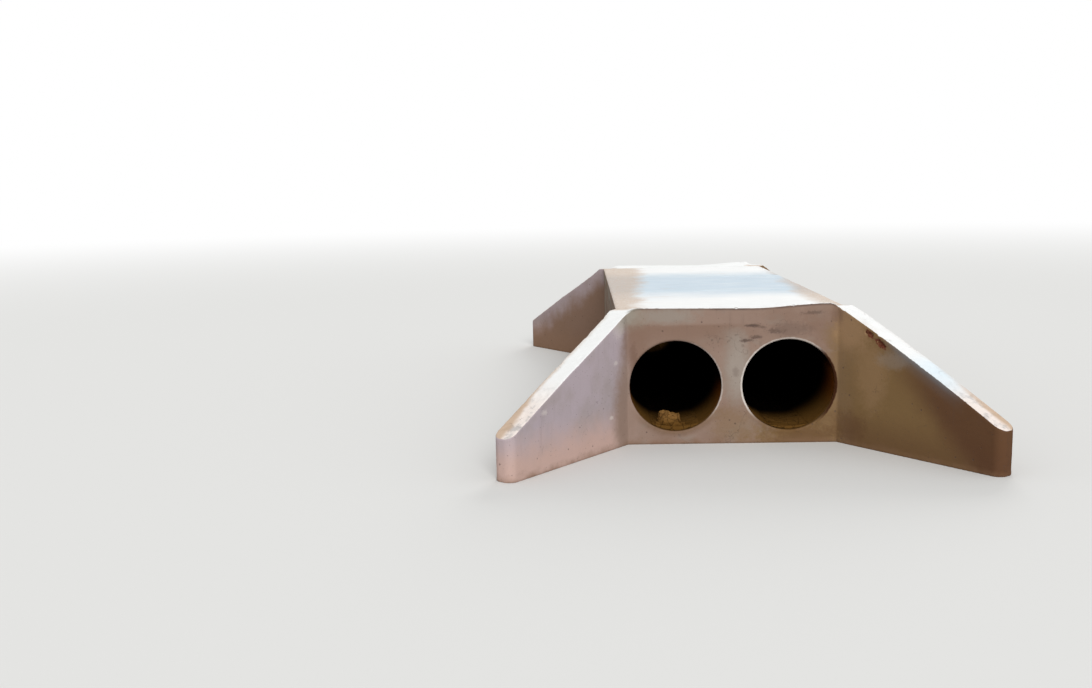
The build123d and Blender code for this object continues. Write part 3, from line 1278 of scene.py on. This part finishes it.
def mouths(finish, colour):
    """Worn rims, palest on the pier and over the right mouth, and the inside, painted near black as
    shade with lit dirt low down.
    """
    paint = colours()
    aside = abs(finish.x) - BARREL_X
    above = finish.z - BARREL_Z
    radius = finish.sum("SQRT", aside * aside + above * above)
    worn = finish.fleck(0.05, 0.010, seed=12.0)
    on_right = ease(finish.x, -0.1, 0.1)
    rim = ease(radius + worn - on_right * 0.008, BORE_RADIUS + 0.027, BORE_RADIUS + 0.010)
    by_pier = ease(aside, 0.10, -0.42) * ease(above, -0.42, -0.20)
    by_pier = by_pier * ease(finish.x, -0.2, 0.2, 0.55, 1.0)
    over_right = ease(above, 0.30, 0.48) * ease(finish.x, -0.2, 0.2)
    muddied = ease(radius + worn * 2, BORE_RADIUS + 0.10, BORE_RADIUS)
    rusty = ease(radius + worn, BORE_RADIUS + 0.034, BORE_RADIUS + 0.022)
    inside = ease(radius, BORE_RADIUS + 0.010, BORE_RADIUS + 0.004)
    return layered(
        colour,
        (rim * larger(by_pier, over_right * 0.8) * 0.95, paint.rim),
        (muddied * ease(above, -0.20, -0.46) * 0.55, paint.mud),
        (rusty * on_right * ease(aside, 0.28, 0.44), paint.rusty_rim),
        # Painted shade: inside the mouth, the near-black wall of the pipe with lit dirt low down
        (inside * ease(finish.from_end(), 0.008, 0.020), bore_colour(finish)),
    )


def pale_top(finish, run, behind):
    """Trowelled tops of the walls, painted near white as sunlit, scuffed at the tips and soiled along
    their outer margin.
    """
    paint = colours()
    on_wing = ease(run, 0.0, 0.1)
    rightwards, leftwards = ease(finish.x, 0.0, 1.0), ease(finish.x, 0.0, -1.0)
    cool = ease(run, 0.8, 1.15) * ease(run, 1.60, 1.35) * rightwards
    mossy = finish.patch((-1.09, FRONT + 0.02, 1.53), (0.11, 0.08, 0.08), 0.4, 0.05)
    scuffed = on_wing * ease(finish.z, 0.95, 0.60)
    grazed = ease(finish.clouds(0.09, 5.0, 0.65, (1.6, 1.6, 1), seed=18.0), 0.47, 0.64)
    left_end = ease(finish.z, 0.80, 0.50) * leftwards
    right_end = ease(finish.z, 1.00, 0.55) * rightwards
    margin = behind + finish.fleck(0.14, 0.05, 6.0, seed=9.0) + right_end * 0.07
    on_left = ease(finish.x, 0.0, -1.0, 0.25, 0.80) * ease(finish.z, 1.30, 0.75, 0.4, 1.0)
    outer = ease(margin + left_end * 0.09, 0.17, 0.25) * on_wing
    outer = outer * larger(on_left, right_end * 0.85)
    corner = ease(abs(finish.x) + finish.fleck(0.20, 0.14, 5.0), 1.02, 1.14)
    corner = corner * ease(finish.from_end() + finish.fleck(0.09, 0.05, 5.0), 0.10, 0.24)
    corner = corner * (1.0 - on_wing)
    return layered(
        trowelled_sunlit_colour(finish, cool, paint.trowelled_cool),
        (mossy * 0.8, paint.moss_grey),
        (scuffed * 0.75, paint.scuffed),
        (scuffed * grazed * 0.45, paint.steel_grey_and_sheen),
        (larger(outer, corner * 0.75), paint.dust),
    )


def wall_finish():
    """Concrete of the headwalls and wings, weathered as on the front of the real one, with sunlight
    painted on the tops and light and shade painted into the faces.
    """
    name = "weathered_wall_concrete"
    if name in bpy.data.materials:
        return bpy.data.materials[name]
    finish = Finish(name)
    paint = colours()
    run, behind = run_and_depth(finish.x, finish.y)
    below_top = slope_top(run) + top_lift(finish.x, finish.y) - finish.z
    middling = finish.clouds(0.17, 5.0, 0.6, (1.5, 1.5, 0.8), seed=2.0)
    spall = spalled(finish, run, behind, below_top)
    # Painted sunlight: faces turned upwards take the near-white colour of the tops
    top = ease(finish.rise + finish.fleck(0.05, 0.06, seed=4.0), 0.42, 0.60)
    top = top * ease(below_top, 0.035, 0.022) * (1.0 - spall)
    cracks = finish.hairlines(0.85, 0.0022, 5.0) * ease(middling, 0.50, 0.60)
    height, holes = concrete_height(finish, 0.010)
    ledge = ease(LINE_HEIGHT - finish.z, -0.006, 0.006, 0.0, 0.5) * ease(finish.x, 0.20, -0.20)
    grain = ease(finish.clouds(0.006, 3.0, 0.7, seed=1.0), 0.2, 0.8, 0.92, 1.06)
    # Painted shade: the air pits are darkened, and the cracks are drawn dark
    marks = larger(holes * 0.4 * (1.0 - top), cracks * 0.5)

    colour = wall_tones(finish, run, middling)
    colour = marks_of_the_form(finish, colour, below_top)
    colour = stained(finish, colour, run, behind, below_top)
    colour = mouths(finish, colour)
    colour = layered(colour, (spall, paint.rust), (top, pale_top(finish, run, behind)))
    colour = blend(marks, shade(colour, grain), paint.soot_and_shade)
    return finish.surface(colour, middling, (0.80, 0.94), height - cracks + ledge, 0.0016)


def deck_finish():
    """Trowelled top of the deck, painted near white as sunlit, with soil washed over its margins, and
    plain cast edges.
    """
    finish = Finish("trowelled_sunlit_deck_concrete")
    paint = colours()
    earth = ease(finish.clouds(0.25, 5.0, 0.6), 0.35, 0.7)
    side = blend(earth, paint.cast_grey, paint.soil)
    # Painted sunlight: faces turned upwards take the near-white colour of the top
    top = ease(finish.rise + finish.fleck(0.05, 0.12, seed=4.0), 0.42, 0.60)
    cool = ease(finish.from_end() + finish.fleck(0.8, 0.4, seed=9.0), 0.9, 2.3)
    pale = trowelled_sunlit_colour(finish, cool, paint.deck_cool)
    sway = finish.fleck(0.55, 0.22, 6.0, seed=13.0) + finish.fleck(0.09, 0.06, 5.0, seed=4.0)
    past_left = sway - finish.x - span(finish.y, -2.7, 2.9, 0.96, 0.62)
    past_right = sway + finish.x - span(finish.y, -1.6, 1.0, 1.00, 1.24)
    grit = ease(finish.clouds(0.02, 4.0, 0.7, seed=16.0), 0.35, 0.65, 0.55, 1.0)
    washed = ease(larger(past_left, past_right), -0.10, 0.16) * grit
    colour = blend(top, side, blend(washed * 0.80, pale, paint.dust))
    height, _ = concrete_height(finish, 0.010)
    uneven = finish.clouds(0.2, 4.0, 0.6)
    return finish.surface(colour, uneven, (0.72, 0.90), height + washed * 0.8, 0.0014)


def surround_finish():
    """Rough concrete cast against boards, stained by the ground that it stood in."""
    finish = Finish("board_marked_concrete")
    paint = colours()
    grain = finish.clouds(0.010, 4.0, 0.7, (1, 14, 1), seed=2.0)
    broad = finish.clouds(0.45, 5.0, 0.6)
    colour = blend(ease(broad, 0.35, 0.68), paint.cast_grey, paint.face_warm)
    colour = shade(colour, ease(grain, 0.2, 0.8, 0.86, 1.08))
    clinging = finish.z + finish.fleck(0.40, 0.55, 6.0, seed=9.0)
    colour = blend(ease(clinging, 1.5, 0.0, 0.15, 0.75), colour, paint.soil)

    # Each board has its own tone, and the ends of the boards are staggered row by row
    _, row_height = board_rows(*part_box("lower_fill"))
    row = finish.sum("FLOOR", finish.z / row_height)
    board = row + finish.sum("FLOOR", finish.y * 0.48 + row * 0.37) * 9.7
    drawn = finish.node("ShaderNodeTexWhiteNoise", {"W": board}, noise_dimensions="1D")
    board_tone = span(Level(finish, drawn.outputs["Value"]), 0, 1, 0.86, 1.06)
    height, holes = concrete_height(finish, 0.012)
    # Painted shade: the air pits are darkened
    colour = blend(holes * 0.4, shade(colour, board_tone), paint.soot_and_shade)
    return finish.surface(colour, broad, (0.82, 0.96), height + grain * 1.2, 0.0018)


def pipe_finish():
    """Precast pipe: painted near black inside as the shade there, muddy along the bottom by the mouths
    where painted light falls.
    """
    finish = Finish("precast_pipe_concrete")
    height = finish.clouds(0.012, 4.0, 0.6, (1, 3, 1))
    uneven = finish.clouds(0.2, 4.0, 0.6)
    return finish.surface(bore_colour(finish), uneven, (0.75, 0.92), height, 0.0010, gloss=0.0)


def mortar_finish():
    """Pointing mortar, coloured as the pipe beside it, with its painted shade and lit dirt."""
    finish = Finish("pointing_mortar")
    stain = finish.clouds(0.06, 5.0, 0.65)
    fresh = ease(finish.from_end(), 0.6, 0.0) * ease(stain, 0.4, 0.7) * 0.05
    colour = blend(fresh, bore_colour(finish), colours().mortar)
    sand = finish.clouds(0.008, 4.0, 0.7)
    return finish.surface(colour, stain, (0.8, 0.95), sand, 0.0015, gloss=0.0)


def mud_finish():
    """Dried mud: a pale crust near the mouths, painted dark further in and toward the rear end as
    shade, finely cracked.
    """
    finish = Finish("dried_mud")
    paint = colours()
    crust = finish.clouds(0.10, 6.0, 0.7)
    crumbs = finish.clouds(0.012, 5.0, 0.75, seed=3.0)
    cracks = finish.hairlines(0.11, 0.004, 2.0)
    inwards = finish.from_end()
    dry = ease(crust, 0.45, 0.72, 0.0, 0.45) * ease(inwards, 0.08, 0.30)
    dry = larger(dry, ease(finish.z, INVERT + 0.05, INVERT + 0.20))
    # Painted shade: the mud darkens to the near-black colour of the pipe wall further in and toward the
    # rear end
    shade_inwards = larger(ease(inwards, 0.20, 0.90), span(finish.y, -0.1, 0.1, 0.0, 0.8))
    colour = layered(paint.mud, (dry, paint.dry_mud), (shade_inwards, paint.bore))
    colour = shade(colour, ease(crumbs, 0.25, 0.75, 0.78, 1.10))
    colour = blend(cracks * 0.6, colour, paint.mud_crack)
    return finish.surface(colour, crust, (0.85, 0.97), crumbs - cracks, 0.0030, gloss=0.0)


# Floor, light and camera


def floor_finish():
    """A pale floor that fades to plain white far off, and throws little light back."""
    finish = Finish("studio_floor")
    paint = colours()
    far = ease(finish.length(finish.place), 14.0, 60.0)
    pale = finish.node("ShaderNodeBsdfDiffuse", {"Color": (*paint.floor, 1)})
    white = finish.node("ShaderNodeEmission", {"Color": (1, 1, 1, 1)})
    bounce = finish.node("ShaderNodeBsdfDiffuse", {"Color": (*paint.bounce, 1)})
    inputs = {0: far, 1: pale.outputs[0], 2: white.outputs[0]}
    seen = finish.node("ShaderNodeMixShader", inputs)
    seen_or_not = finish.node("ShaderNodeLightPath").outputs["Is Camera Ray"]
    inputs = {0: seen_or_not, 1: bounce.outputs[0], 2: seen.outputs[0]}
    shown = finish.node("ShaderNodeMixShader", inputs)
    finish.join(finish.tree.nodes["Material Output"], {"Surface": shown.outputs[0]})
    finish.tree.nodes.remove(finish.shader)
    return finish.material


def aimed(way_round, rise, roll=0.0):
    """The turn of a lamp or camera that looks along +Y before it goes round, up and over."""
    level = Matrix.Rotation(way_round, 3, "Z") @ Matrix.Rotation(math.pi / 2, 3, "X")
    return (level @ Matrix.Rotation(rise, 3, "X") @ Matrix.Rotation(roll, 3, "Z")).to_euler()


def soft_sun(name, azimuth, elevation, level):
    """A wide, far lamp that gives a surface turned to it that level of light.

    Azimuth 0 shines on the front and grows to the right of someone who faces the front.
    """
    put_down_everything()
    bpy.ops.object.light_add(type="SUN", location=(0, 0, 12))
    lamp = bpy.context.object
    lamp.name = name
    lamp.rotation_euler = aimed(azimuth, -elevation)
    lamp.data.angle = stage().softness
    lamp.data.energy = level * math.pi


def studio_sky():
    """Plain dim light from all round, seen as white."""
    world = bpy.data.worlds.new("studio_sky")
    bpy.context.scene.world = world
    world.use_nodes = True
    tree = world.node_tree
    background = tree.nodes["Background"]
    background.inputs["Color"].default_value = (1, 1, 1, 1)
    path = tree.nodes.new("ShaderNodeLightPath")
    level = tree.nodes.new("ShaderNodeMapRange")
    level.inputs["To Min"].default_value = stage().sky
    level.inputs["To Max"].default_value = 1.0
    tree.links.new(path.outputs["Is Camera Ray"], level.inputs["Value"])
    tree.links.new(level.outputs["Result"], background.inputs["Strength"])


def camera_at_the_photo():
    """The camera where the photograph was taken from, with its turn and tilt."""
    put_down_everything()
    bpy.ops.object.camera_add(location=stage().camera_place)
    camera = bpy.context.object
    camera.name = "view_of_the_front"
    camera.rotation_euler = aimed(-stage().yaw, stage().pitch, stage().roll)
    camera.data.lens = stage().focal_length
    camera.data.sensor_width = 36
    camera.data.clip_end = 500
    bpy.context.scene.camera = camera


class CULVERT_OT_stage(bpy.types.Operator):
    """Set the culvert on a pale floor under soft light, with the camera in front of it"""

    bl_idname = "culvert.stage"
    bl_label = "Stage"

    def execute(self, context):
        put_down_everything()
        bpy.ops.mesh.primitive_circle_add(vertices=96, radius=90, fill_type="NGON")
        floor = named("studio_floor")
        floor.data.materials.append(floor_finish())
        studio_sky()
        lamps = stage()
        soft_sun("key_lamp", lamps.key_azimuth, lamps.key_elevation, lamps.key)
        soft_sun("fill_lamp", lamps.fill_azimuth, lamps.fill_elevation, lamps.fill)
        camera_at_the_photo()
        context.scene.view_settings.view_transform = "Standard"
        return {"FINISHED"}


class CULVERT_PT_panel(bpy.types.Panel):
    """Lists the pieces of the culvert in the order in which they are made"""

    bl_idname = "CULVERT_PT_panel"
    bl_label = "Culvert Headwall"
    bl_space_type = "VIEW_3D"
    bl_region_type = "UI"
    bl_category = "Culvert"

    def draw(self, context):
        column = self.layout.column()
        for operator in OPERATORS:
            column.operator(operator.bl_idname)
        for group in (sizes(), casting(), colours(), stage()):
            box = self.layout.box()
            for name in group.bl_rna.properties.keys():
                if name not in ("rna_type", "name"):
                    box.prop(group, name)


GROUPS = {
    "culvert_sizes": CulvertSizes,
    "culvert_casting": CulvertCasting,
    "culvert_colours": CulvertColours,
    "culvert_stage": CulvertStage,
}
OPERATORS = (
    CULVERT_OT_front_end,
    CULVERT_OT_rear_end,
    CULVERT_OT_deck,
    CULVERT_OT_surround,
    CULVERT_OT_barrels,
    CULVERT_OT_silt,
    CULVERT_OT_stage,
)


def register():
    for shown in (*GROUPS.values(), *OPERATORS, CULVERT_PT_panel):
        bpy.utils.register_class(shown)
    for name, group in GROUPS.items():
        setattr(bpy.types.Scene, name, bpy.props.PointerProperty(type=group))


def unregister():
    for name in GROUPS:
        delattr(bpy.types.Scene, name)
    for shown in (CULVERT_PT_panel, *reversed(OPERATORS), *reversed(list(GROUPS.values()))):
        bpy.utils.unregister_class(shown)


def main():
    register()
    bpy.ops.culvert.front_end()
    bpy.ops.culvert.rear_end()
    bpy.ops.culvert.deck()
    bpy.ops.culvert.surround()
    bpy.ops.culvert.barrels()
    bpy.ops.culvert.silt()
    bpy.ops.culvert.stage()


if __name__ == "__main__":
    main()
